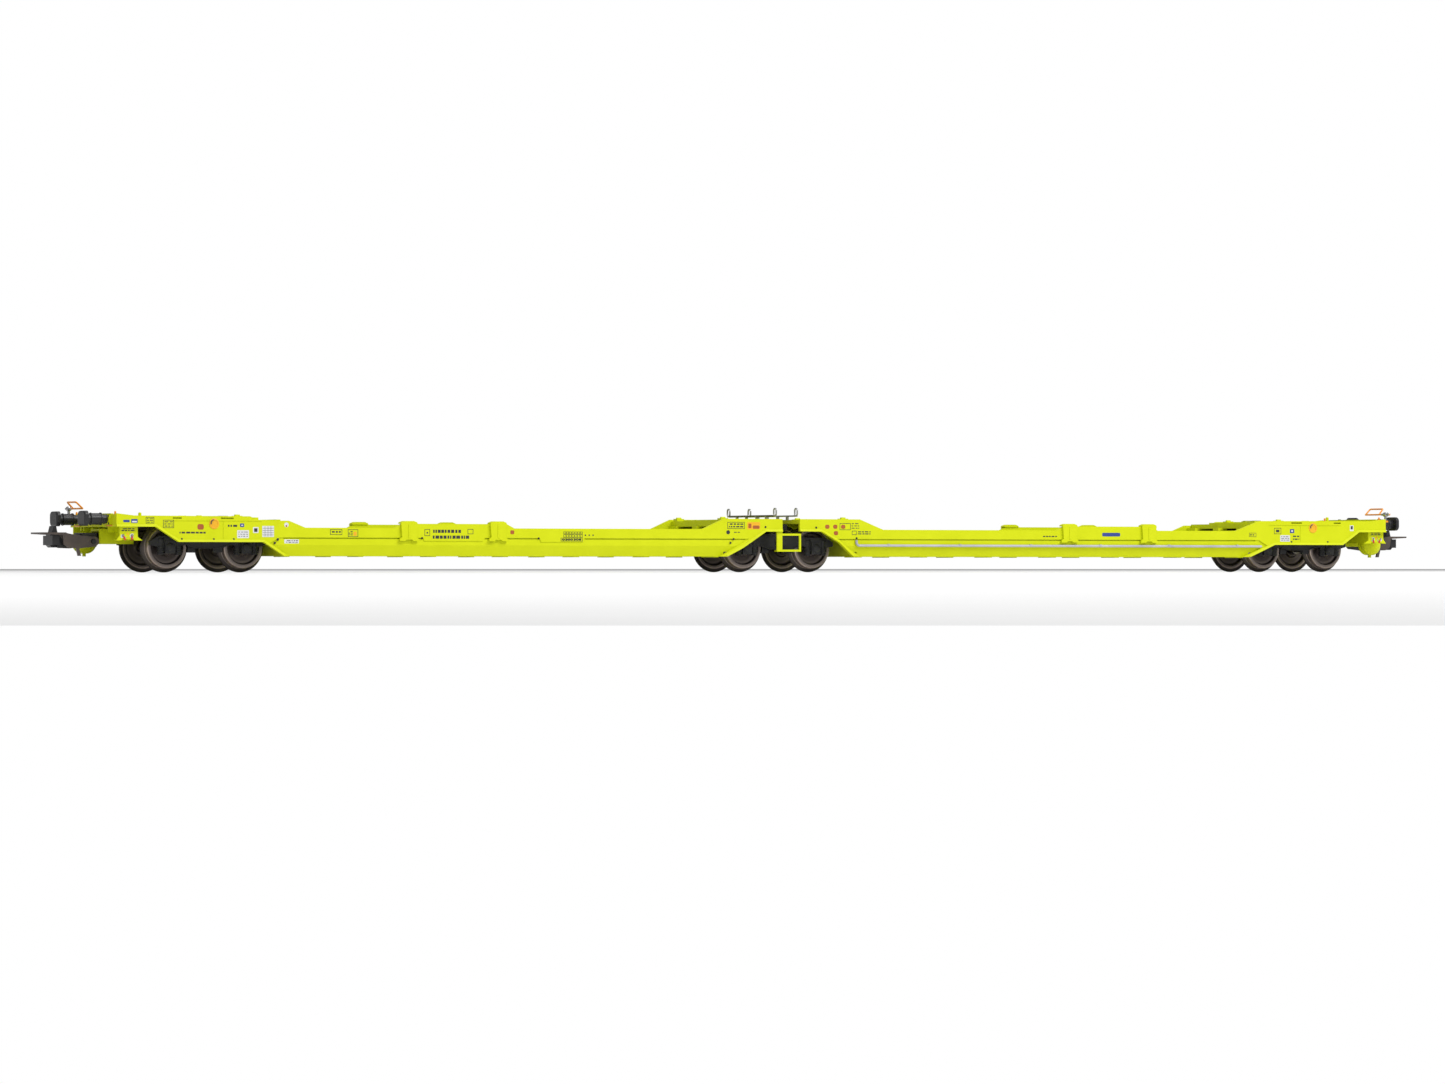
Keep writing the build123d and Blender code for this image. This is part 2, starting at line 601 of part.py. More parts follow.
def make_screw(x, top):
    """Bogie screw: head under the bolster, shank up into the body."""
    with BuildPart() as screw:
        disc(x, 0, (6.0, 6.85), 2.1)
        disc(x, 0, (6.8, top), SCREW_R)
        block((x - 1.5, x + 1.5), (-0.2, 0.2), (5.9, 6.35), Mode.SUBTRACT)
    return screw.part


def make_hoop_bar(x):
    """Cross bar on short feet, with an upright oval hoop at each end."""
    with BuildPart() as hoops:
        cross_bar(x, 13.9, 0.22, (HOOP_Y + 0.6, -HOOP_Y - 0.6))
        for y in (-8.5, -3.0, 3.0, 8.5):
            block((x - 0.3, x + 0.3), (y - 0.35, y + 0.35), (DECK_TOP, 13.85))
        for y in (-HOOP_Y, HOOP_Y):
            with BuildSketch(Plane(origin=(x, y, up(14.9)), x_dir=(0, 1, 0), z_dir=(1, 0, 0))):
                SlotOverall(2.3, 1.7, rotation=90)
                SlotOverall(1.75, 1.15, rotation=90, mode=Mode.SUBTRACT)
            extrude(amount=0.17, both=True)
    return hoops.part


def make_centre_steps():
    """Step frame that hangs from half a beside the articulation."""
    face = (-16.2, -15.7)
    with BuildPart() as steps:
        block((-3.5, 3.7), face, (4.4, 9.2))
        block((-1.9, 3.2), face, (4.95, 8.65), Mode.SUBTRACT)
        block((-3.5, -1.9), face, (9.1, 9.7))
        block((-3.5, 3.7), (-16.2, -14.7), (4.4, 4.75))
    return steps.part


def make_brake_pipe():
    """Brake pipe in front of the lower band of half b, held by clips."""
    y = -16.42
    r = 0.33
    with BuildPart() as pipe:
        points = [(20.3, y, 7.5), (20.3, y, 6.05), (148.0, y, 6.05)]
        lifted = [(px, py, up(pz)) for px, py, pz in points]
        with BuildLine() as path:
            FilletPolyline(*lifted, radius=0.9)
        with BuildSketch(Plane(origin=lifted[0], z_dir=path.line % 0)):
            Circle(r)
        sweep(path=path.line)
        for index in range(6):
            x = 30 + index * 22
            block((x - 0.25, x + 0.25), (-BAND_Y, y - r - 0.04), (5.95, 6.5))
    return pipe.part


# ---- bogies -----------------------------------------------------------------
def make_bogie_frame(x0):
    """Two side frames with axle boxes and spring pots, joined by the bolster."""
    half_base = WHEELBASE / 2
    with BuildPart() as frame:
        block((x0 - 2.6, x0 + 2.6), (-11, 11), (7.0, 8.8))
        disc(x0, 0, (8.7, PAD_TOP), 3.2)
        for side in (-1, 1):
            outline = [(4.4, 9.1), (7.2, 8.15), (13.2, 8.15), (15.6, 6.9), (15.6, 5.9), (12.7, 5.2)]
            outline += [(12.7, 4.3), (7.9, 4.3), (7.9, 5.4), (6.4, 6.0), (3.2, 5.0)]
            points = [(x0 + px, pz) for px, pz in outline]
            points += [(x0 - px, pz) for px, pz in reversed(outline)]
            side_slab(points, (side * 11.9, side * 10.7))
            for end in (-1, 1):
                axle_x = x0 + end * half_base
                block((axle_x - 1.35, axle_x + 1.35), (side * 10.5, side * 12.3), (3.7, 6.9))
                for spring in (-2.35, 2.35):
                    disc(axle_x + spring, side * 11.45, (3.5, 5.7), 0.8)
                    disc(axle_x + spring, side * 11.45, (5.7, 6.3), 0.62)
                    disc(axle_x + spring, side * 11.45, (6.2, 7.2), 0.8)
                axle_y = (side * 10.0, side * 11.95)
                cross_bar(axle_x, TREAD_R, 0.55, (max(axle_y), min(axle_y)), Mode.SUBTRACT)
            long_rib = (side * 11.9, side * 12.15)
            block((x0 - 4.2, x0 + 4.2), long_rib, (8.6, 9.0))
            block((x0 - 12.6, x0 - 7.2), long_rib, (7.7, 8.1))
            block((x0 + 7.2, x0 + 12.6), long_rib, (7.7, 8.1))
        disc(x0, 0, (6, 10), BOGIE_HOLE_R, Mode.SUBTRACT)
    return frame.part


def make_brake_gear(x0):
    """Brake beams under the bolster with four shoes that face the treads."""
    half_base = WHEELBASE / 2
    with BuildPart() as gear:
        for end in (-1, 1):
            axle_x = x0 + end * half_base
            block((x0 + end * 2.6, x0 + end * 3.4), (-10.2, 10.2), (6.2, 7.0))
            for side in (-1, 1):
                block((x0 + end * 2.7, x0 + end * 6.2), (side * 8.3, side * 9.8), (4.0, 7.0))
                shoe_y = (side * 8.1, side * 10.0)
                cross_bar(axle_x, TREAD_R, TREAD_R + 0.4, (max(shoe_y), min(shoe_y)), Mode.SUBTRACT)
    return gear.part


def make_axle(x):
    """Axle with journal ends that turn in the axle boxes."""
    with BuildPart() as axle:
        cross_bar(x, TREAD_R, 0.75, (10.35, -10.35))
        cross_bar(x, TREAD_R, 0.5, (11.85, -11.85))
        cross_bar(x, TREAD_R, 1.15, (7.2, 5.4))
        cross_bar(x, TREAD_R, 1.15, (-5.4, -7.2))
    return axle.part


def make_wheels(x):
    """Pair of disc wheels with flange, coned tread, thin web and hub."""
    inner = BACK_TO_BACK / 2
    outer = inner + WHEEL_W
    with BuildPart() as wheels:
        for side in (-1, 1):
            with BuildSketch(Plane(origin=(x, 0, AXLE_Z), x_dir=(0, 1, 0), z_dir=(-1, 0, 0))):
                with BuildLine():
                    Polyline(
                        (side * inner, 0.75), (side * inner, 1.9), (side * (inner + 0.5), 2.3),
                        (side * (inner + 0.75), 4.2), (side * inner, 4.6), (side * inner, FLANGE_R - 0.35),
                    )
                    ThreePointArc(
                        (side * inner, FLANGE_R - 0.35), (side * (inner + 0.3), FLANGE_R),
                        (side * (inner + 0.62), FLANGE_R - 0.35),
                    )
                    Polyline(
                        (side * (inner + 0.62), FLANGE_R - 0.35), (side * (inner + 0.95), TREAD_R + 0.06),
                        (side * (outer - 0.2), TREAD_R - 0.02), (side * outer, TREAD_R - 0.22),
                        (side * outer, 4.35), (side * (outer - 0.85), 4.0), (side * (outer - 1.2), 2.3),
                        (side * (outer - 0.35), 1.75), (side * (outer - 0.1), 1.3), (side * (outer - 0.1), 0.75),
                        (side * inner, 0.75),
                    )
                make_face()
            revolve(axis=Axis((x, 0, AXLE_Z), (0, 1, 0)))
    return wheels.part


# ---- build every piece -------------------------------------------------------
for key, half in HALVES.items():
    sign = half["sign"]
    save(make_sill(half, -1), f"{key}_sill_near")
    save(make_sill(half, 1), f"{key}_sill_far")
    save(make_outer_deck(half), f"{key}_outer_deck")
    save(make_inner_deck(half), f"{key}_inner_deck")
    save(make_pocket_floor(half), f"{key}_pocket_floor")
    save(make_headstock(half), f"{key}_headstock")
    save(make_panels(half), f"{key}_brake_panels")
    save(make_drum(half), f"{key}_air_drum")
    save(make_hand_rail(half), f"{key}_hand_rail")
    save(make_posts(half), f"{key}_grapple_posts")
    save(make_spigots(half), f"{key}_spigots")
    save(make_trestle(half), f"{key}_trestle")
    save(make_buffer_sleeves(half), f"{key}_buffer_sleeves")
    save(make_buffer_heads(half), f"{key}_buffer_heads")
    save(make_coupler_pocket(half), f"{key}_coupler_pocket")
    save(make_coupler_head(half), f"{key}_coupler_head")
    save(make_bail(half), f"{key}_coupler_bail")
    save(make_screw(sign * PIVOT_U, 11.0), f"{key}_bogie_screw")

save(make_joint_tongue(), "joint_tongue")
save(make_screw(0, TONGUE_TOP - 0.2), "joint_screw")
save(make_hoop_bar(-2.7), "a_hoop_bar")
save(make_hoop_bar(3.6), "b_hoop_bar")
save(make_centre_steps(), "centre_steps")
save(make_brake_pipe(), "b_brake_pipe")

for bogie, x0 in (("bogie_a", -PIVOT_U), ("bogie_mid", 0), ("bogie_b", PIVOT_U)):
    save(make_bogie_frame(x0), f"{bogie}_frame")
    save(make_brake_gear(x0), f"{bogie}_brake_gear")
    for number, offset in ((1, -WHEELBASE / 2), (2, WHEELBASE / 2)):
        save(make_axle(x0 + offset), f"{bogie}_axle_{number}")
        save(make_wheels(x0 + offset), f"{bogie}_wheels_{number}")
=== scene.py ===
import json
import math
import random

import bmesh
import bpy
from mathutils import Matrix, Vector


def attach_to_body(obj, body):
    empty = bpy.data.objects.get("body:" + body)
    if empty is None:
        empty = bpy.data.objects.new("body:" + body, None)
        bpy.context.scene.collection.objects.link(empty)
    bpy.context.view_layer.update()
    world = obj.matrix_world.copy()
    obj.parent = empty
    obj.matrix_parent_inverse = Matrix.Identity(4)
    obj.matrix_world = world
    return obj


# H0 articulated pocket wagon. Lengths are millimetres, heights are above the rail head, and
# u is the distance from the articulation along either half: X = sign * u.
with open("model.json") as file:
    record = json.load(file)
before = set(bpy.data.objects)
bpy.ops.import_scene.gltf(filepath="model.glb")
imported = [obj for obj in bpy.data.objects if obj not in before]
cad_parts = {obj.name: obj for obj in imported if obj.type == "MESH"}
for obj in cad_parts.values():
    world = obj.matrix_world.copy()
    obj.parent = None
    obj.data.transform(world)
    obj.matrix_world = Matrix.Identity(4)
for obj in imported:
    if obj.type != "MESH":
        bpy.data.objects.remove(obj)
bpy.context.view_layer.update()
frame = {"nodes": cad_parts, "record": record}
bpy.context.scene.view_settings.view_transform = "Standard"

MM = 0.001
SIGNS = {"a": -1, "b": 1}
rng = random.Random(87)

# wheels and bogies
RAIL = 1.05                     # rail head above the flange bottoms
TREAD_R = 5.25                  # wheel tread, and so the height of the axles
FLANGE_R = TREAD_R + RAIL
PIVOT_U = 163.2
BOGIES = {"bogie_a": -PIVOT_U, "bogie_mid": 0.0, "bogie_b": PIVOT_U}
HALF_BASE = 10.3                # bogie pivot to axle
WEB_Y = 11.9                    # face of the bogie's side frames
BOX_Y = 12.3                    # face of the axle boxes
SPRING_X = 2.35                 # axle to spring
SPRING_Y = 11.45
SPRING_R = 0.84
SPRING_LOW, SPRING_HIGH = 3.75, 5.6

# side faces
PLATE_Y = 16.28                 # platform side plates and upper web
BAND_Y = 16.05                  # lower band
PANEL_Y = 15.35                 # brake panels
STEPPED_EYE_U = 163.3           # rope eyes, on the stepped and on the straight side
STRAIGHT_EYE_U = 165.1
EYE_Z = 11.2

# tops
DECK_TOP = 12.85                # platforms
STRIP_TOP = DECK_TOP + 0.18     # raised strips of the outer platform
BEAM_TOP = 13.5                 # end beam
TRACK_TOP = 3.8                 # wheel tracks of the pocket floor
TRACK_Y = (8.0, 13.2)
TRACK_INNER_U = {"a": 20.6, "b": 22.4}
TRACK_OUTER_U = 142.7

# ends
HEADSTOCK_U = 189.4
BUFFER_Y = 10.05
BUFFER_Z = 12.35
ARM_U = 190.85                  # hand rail's arm and stem
ARM_Z = 15.1
STEM_Y = 14.0

# markings
PRINT = 0.025                   # thickness of a printed marking
SINK = 0.01                     # how far a marking reaches into its face
OVER = 0.02                     # lift of a marking printed on another one
DASH = (0.35, 1.1)              # shortest and longest dash of a row
GAP = (0.18, 0.34)
LAST_DASH = 0.25                # a row ends when less than this is left


# ---- mesh helpers ----------------------------------------------------------
def at(x, y, z):
    """Point in metres, from millimetres with the height above the rail head."""
    return Vector((x * MM, y * MM, (z + RAIL) * MM))


def on_side(side, y):
    """Places (x, height, outwards) on a side face."""
    return lambda u, v, w: at(u, side * (y + w), v)


def on_top(z):
    """Places (x, y, upwards) on a level surface."""
    return lambda u, v, w: at(u, v, z + w)


def on_end(x, sign):
    """Places (y, height, outwards) on a face across the wagon."""
    return lambda u, v, w: at(x + sign * w, u, v)


def rounded(u, v, width, height, radius, steps=3):
    """Outline of a rectangle with rounded corners, centred at u, v."""
    points = []
    corners = ((1, 1, 0), (-1, 1, 90), (-1, -1, 180), (1, -1, 270))
    for across, along, start in corners:
        cu = u + across * (width / 2 - radius)
        cv = v + along * (height / 2 - radius)
        for step in range(steps + 1):
            angle = math.radians(start + 90 * step / steps)
            points.append((cu + radius * math.cos(angle), cv + radius * math.sin(angle)))
    return points


def circle(u, v, radius, steps=20):
    turns = [2 * math.pi * step / steps for step in range(steps)]
    return [(u + radius * math.cos(t), v + radius * math.sin(t)) for t in turns]


def soften(item, width):
    """Narrow bevel along the sharp edges."""
    edge = item.modifiers.new("edge", "BEVEL")
    edge.width = width * MM
    edge.segments = 2
    edge.limit_method = "ANGLE"
    return edge


def attach(item, body, material):
    """Puts the object in the scene, riding on its body and material."""
    bpy.context.scene.collection.objects.link(item)
    item.data.materials.append(material)
    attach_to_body(item, body)


class Piece:
    """Collects shapes and becomes one mesh object that rides on a body."""

    def __init__(self):
        self.mesh = bmesh.new()

    def prism(self, outline, place, low, high):
        """Closed outline extruded from low to high."""
        bottom = [self.mesh.verts.new(place(u, v, low)) for u, v in outline]
        top = [self.mesh.verts.new(place(u, v, high)) for u, v in outline]
        self.mesh.faces.new(bottom)
        self.mesh.faces.new(top)
        for first in range(len(outline)):
            second = (first + 1) % len(outline)
            self.mesh.faces.new((bottom[first], bottom[second], top[second], top[first]))

    def bar(self, u, v, place, low, high):
        """Rectangular block over the pairs u and v."""
        self.prism([(u[0], v[0]), (u[1], v[0]), (u[1], v[1]), (u[0], v[1])], place, low, high)

    def lathe(self, profile, u, v, place, steps=24):
        """Profile of (radius, height) pairs turned about the axis through u, v."""
        rings = []
        for radius, height in profile:
            if radius == 0:
                rings.append([self.mesh.verts.new(place(u, v, height))])
            else:
                ring = circle(u, v, radius, steps)
                rings.append([self.mesh.verts.new(place(pu, pv, height)) for pu, pv in ring])
        for lower, upper in zip(rings, rings[1:]):
            for first in range(steps):
                second = (first + 1) % steps
                if len(lower) == 1:
                    self.mesh.faces.new((lower[0], upper[first], upper[second]))
                elif len(upper) == 1:
                    self.mesh.faces.new((lower[first], lower[second], upper[0]))
                else:
                    self.mesh.faces.new((lower[first], lower[second], upper[second], upper[first]))

    def bolt(self, u, v, place, radius, height):
        """Hexagon head on a washer, with a slightly domed top."""
        washer = [(0, 0), (radius * 1.3, 0), (radius * 1.3, height * 0.3), (0, height * 0.3)]
        head = [(0, 0), (radius, 0), (radius, height * 0.85), (radius * 0.8, height), (0, height)]
        self.lathe(washer, u, v, place, 16)
        self.lathe(head, u, v, place, 6)

    def finish(self, name, body, slot, material, bevel=0.0):
        bmesh.ops.recalc_face_normals(self.mesh, faces=self.mesh.faces)
        data = bpy.data.meshes.new(name)
        self.mesh.to_mesh(data)
        self.mesh.free()
        item = bpy.data.objects.new(name, data)
        if bevel:
            soften(item, bevel)
        attach(item, body, material)


def wires(name, body, material, routes, radius):
    """Round wires through lists of points, as one curve object."""
    data = bpy.data.curves.new(name, "CURVE")
    data.dimensions = "3D"
    data.bevel_depth = radius * MM
    data.bevel_resolution = 3
    data.use_fill_caps = True
    for route in routes:
        spline = data.splines.new("POLY")
        spline.points.add(len(route) - 1)
        for point, (x, y, z) in zip(spline.points, route):
            point.co = (*at(x, y, z), 1)
    attach(bpy.data.objects.new(name, data), body, material)


# ---- materials ---------------------------------------------------------------
GRAIN_DEPTH = 0.02


def surface(name, light, dark, roughness, spread=0.06, metallic=0.0, specular=0.5,
            patch=180.0, grain=2600.0, bump=0.25):
    """Principled surface: two close colours in soft patches, uneven gloss and a fine grain."""
    material = bpy.data.materials.new(name)
    material.use_nodes = True
    nodes = material.node_tree.nodes
    links = material.node_tree.links
    shader = nodes["Principled BSDF"]
    shader.inputs["Metallic"].default_value = metallic
    shader.inputs["Specular IOR Level"].default_value = specular
    place = nodes.new("ShaderNodeTexCoord")
    patches = nodes.new("ShaderNodeTexNoise")
    patches.inputs["Scale"].default_value = patch
    patches.inputs["Detail"].default_value = 5.0
    links.new(place.outputs["Object"], patches.inputs["Vector"])
    ramp = nodes.new("ShaderNodeValToRGB")
    ramp.color_ramp.elements[0].position = 0.3
    ramp.color_ramp.elements[0].color = (*dark, 1)
    ramp.color_ramp.elements[1].position = 0.68
    ramp.color_ramp.elements[1].color = (*light, 1)
    links.new(patches.outputs["Fac"], ramp.inputs["Fac"])
    links.new(ramp.outputs["Color"], shader.inputs["Base Color"])
    fine = nodes.new("ShaderNodeTexNoise")
    fine.inputs["Scale"].default_value = grain
    fine.inputs["Detail"].default_value = 3.0
    links.new(place.outputs["Object"], fine.inputs["Vector"])
    gloss = nodes.new("ShaderNodeMapRange")
    gloss.inputs["To Min"].default_value = roughness - spread
    gloss.inputs["To Max"].default_value = roughness + spread
    links.new(fine.outputs["Fac"], gloss.inputs["Value"])
    links.new(gloss.outputs["Result"], shader.inputs["Roughness"])
    relief = nodes.new("ShaderNodeBump")
    relief.inputs["Strength"].default_value = bump
    relief.inputs["Distance"].default_value = GRAIN_DEPTH * MM
    links.new(fine.outputs["Fac"], relief.inputs["Height"])
    links.new(relief.outputs["Normal"], shader.inputs["Normal"])
    return material


def wheel_surface(name, axle_x):
    """Burnished wheel: dark hub and web, a brighter rim ring and a pale tread, each partly worn metal and
    partly a painted highlight.
    """
    material = surface(name, (0.2, 0.165, 0.145), (0.13, 0.105, 0.09), 0.38, 0.08, metallic=0.75, patch=300.0)
    nodes = material.node_tree.nodes
    links = material.node_tree.links
    shader = nodes["Principled BSDF"]
    place = next(n for n in nodes if n.type == "TEX_COORD")
    offset = nodes.new("ShaderNodeVectorMath")
    offset.operation = "SUBTRACT"
    offset.inputs[1].default_value = at(axle_x, 0, TREAD_R)
    links.new(place.outputs["Object"], offset.inputs[0])
    flat = nodes.new("ShaderNodeVectorMath")
    flat.operation = "MULTIPLY"
    flat.inputs[1].default_value = (1, 0, 1)
    links.new(offset.outputs["Vector"], flat.inputs[0])
    radius = nodes.new("ShaderNodeVectorMath")
    radius.operation = "LENGTH"
    links.new(flat.outputs["Vector"], radius.inputs[0])
    share = nodes.new("ShaderNodeMapRange")
    share.inputs["From Max"].default_value = FLANGE_R * MM
    links.new(radius.outputs["Value"], share.inputs["Value"])
    rings = nodes.new("ShaderNodeValToRGB")
    # share of the flange radius, and the colour there; the light stops from 0.79 to 0.84 are painted
    # highlight over worn metal, brightest at 0.822 on the tread edge
    stops = (
        (0.0, (0.03, 0.027, 0.025)), (0.24, (0.07, 0.06, 0.056)), (0.3, (0.2, 0.17, 0.158)),
        (0.5, (0.15, 0.126, 0.118)), (0.6, (0.25, 0.213, 0.2)), (0.66, (0.045, 0.04, 0.038)),
        (0.7, (0.2, 0.17, 0.16)), (0.79, (0.34, 0.29, 0.27)), (0.822, (0.72, 0.63, 0.58)),
        (0.84, (0.46, 0.39, 0.355)), (0.87, (0.1, 0.087, 0.08)), (1.0, (0.07, 0.061, 0.057)),
    )
    ramp = rings.color_ramp
    while len(ramp.elements) < len(stops):
        ramp.elements.new(0.5)
    for element, (position, color) in zip(ramp.elements, stops):
        element.position = position
        element.color = (*color, 1)
    links.new(share.outputs["Result"], rings.inputs["Fac"])
    blend = nodes.new("ShaderNodeMix")
    blend.data_type = "RGBA"
    blend.blend_type = "OVERLAY"
    blend.inputs["Factor"].default_value = 0.35
    patches = next(n for n in nodes if n.type == "VALTORGB" and n != rings)
    first_color, second_color, mixed_color = blend.inputs[6], blend.inputs[7], blend.outputs[2]
    links.new(rings.outputs["Color"], first_color)
    links.new(patches.outputs["Color"], second_color)
    links.new(mixed_color, shader.inputs["Base Color"])
    return material


LIME = surface("lime_paint", (0.64, 0.7, 0.008), (0.6, 0.66, 0.005), 0.52, 0.07, specular=0.14)
BLACK = surface("black_moulding", (0.026, 0.026, 0.027), (0.017, 0.017, 0.018), 0.36, 0.1, specular=0.35,
                grain=1800.0, bump=0.35)
BOGIE = surface("bogie_moulding", (0.022, 0.022, 0.023), (0.011, 0.011, 0.012), 0.42, 0.12, specular=0.35,
                grain=1500.0, bump=0.5)
ORANGE = surface("orange_paint", (0.86, 0.33, 0.01), (0.78, 0.26, 0.008), 0.35)
STEEL = surface("turned_steel", (0.42, 0.42, 0.42), (0.32, 0.32, 0.33), 0.32, 0.08, metallic=1.0, patch=600.0)
SILVER = surface("silver_wire", (0.36, 0.36, 0.35), (0.28, 0.28, 0.27), 0.34, 0.08, metallic=0.4, patch=500.0)
OLIVE = surface("olive_wire", (0.085, 0.08, 0.045), (0.05, 0.048, 0.028), 0.4, 0.08,
                metallic=0.3, patch=500.0)
BRONZE = surface("burnished_bronze", (0.12, 0.095, 0.082), (0.075, 0.062, 0.055), 0.4, 0.08,
                 metallic=0.5, patch=260.0)
PIPE = surface("pale_pipe", (0.5, 0.5, 0.56), (0.38, 0.38, 0.45), 0.3)
AXLE = surface("axle_steel", (0.3, 0.28, 0.26), (0.18, 0.16, 0.15), 0.36, 0.08, metallic=0.9, patch=400.0)
INK = surface("black_print", (0.03, 0.03, 0.03), (0.02, 0.02, 0.022), 0.5)
BLUE = surface("blue_print", (0.03, 0.06, 0.3), (0.02, 0.045, 0.24), 0.45)
WHITE = surface("white_print", (0.72, 0.73, 0.74), (0.64, 0.65, 0.67), 0.5)
AMBER = surface("amber_print", (0.86, 0.47, 0.008), (0.8, 0.38, 0.008), 0.48)
BRICK = surface("brick_print", (0.42, 0.11, 0.015), (0.34, 0.08, 0.012), 0.5)
RED = surface("red_paint", (0.62, 0.03, 0.02), (0.5, 0.02, 0.015), 0.36)
RUBBER = surface("rubber_pad", (0.016, 0.016, 0.016), (0.01, 0.01, 0.011), 0.75, 0.1, specular=0.2, bump=0.6)

SLOT_SURFACES = {
    "lime_body": LIME,
    "lime_trim": LIME,
    "orange_wire": ORANGE,
    "black_plastic": BLACK,
    "bogie_black": BOGIE,
    "screw_steel": STEEL,
    "silver_wire": SILVER,
    "bronze_metal": BRONZE,
    "pale_pipe": PIPE,
    "axle_steel": AXLE,
}


def dress_nodes():
    """Gives every CAD node its finish by the record's material slot."""
    for part in frame["record"]["subparts"]:
        node = part["node"]
        item = frame["nodes"][node]
        item.data.materials.clear()
        if part["material_slot"] == "wheel_metal":
            bogie, number = node.rsplit("_wheels_", 1)
            axle_x = BOGIES[bogie] + (HALF_BASE if number == "2" else -HALF_BASE)
            item.data.materials.append(wheel_surface(f"wheel_{bogie}_{number}", axle_x))
        else:
            item.data.materials.append(SLOT_SURFACES[part["material_slot"]])
        edge = soften(item, 0.05)
        edge.angle_limit = math.radians(50)
        edge.harden_normals = True


# ---- markings: plain bars, dots and boxes, no lettering ------------------------
class Print:
    """Flat markings of one colour on one half. A spot is the pair (sign, side)."""

    def __init__(self):
        self.piece = Piece()

    def stamp(self, spot, outline, face, lift):
        self.piece.prism(outline, on_side(spot[1], face), lift - SINK, lift + PRINT)

    def panel(self, spot, u, z, radius=0.12, face=PLATE_Y, lift=0.0):
        """Plain panel over the pairs u and z."""
        centre = (spot[0] * (u[0] + u[1]) / 2, (z[0] + z[1]) / 2)
        self.stamp(spot, rounded(*centre, u[1] - u[0], z[1] - z[0], radius), face, lift)

    def dot(self, spot, u, z, radius, face=PLATE_Y, lift=0.0):
        self.stamp(spot, circle(spot[0] * u, z, radius), face, lift)

    def frame(self, spot, u, z, line=0.12):
        """Outline box over the pairs u and z."""
        for low, high in ((z[0], z[0] + line), (z[1] - line, z[1])):
            self.panel(spot, u, (low, high), line / 3)
        for low, high in ((u[0], u[0] + line), (u[1] - line, u[1])):
            self.panel(spot, (low, high), z, line / 3)

    def rows(self, spot, u, z, count, height, face=PLATE_Y, lift=0.0):
        """Rows of short plain dashes of uneven length."""
        pitch = (z[1] - z[0]) / count
        for row in range(count):
            middle = z[0] + pitch * (row + 0.5)
            across = (middle - height / 2, middle + height / 2)
            start = u[0]
            while start < u[1] - LAST_DASH:
                end = min(u[1], start + rng.uniform(*DASH))
                self.panel(spot, (start, end), across, 0.05, face, lift)
                start = end + rng.uniform(*GAP)


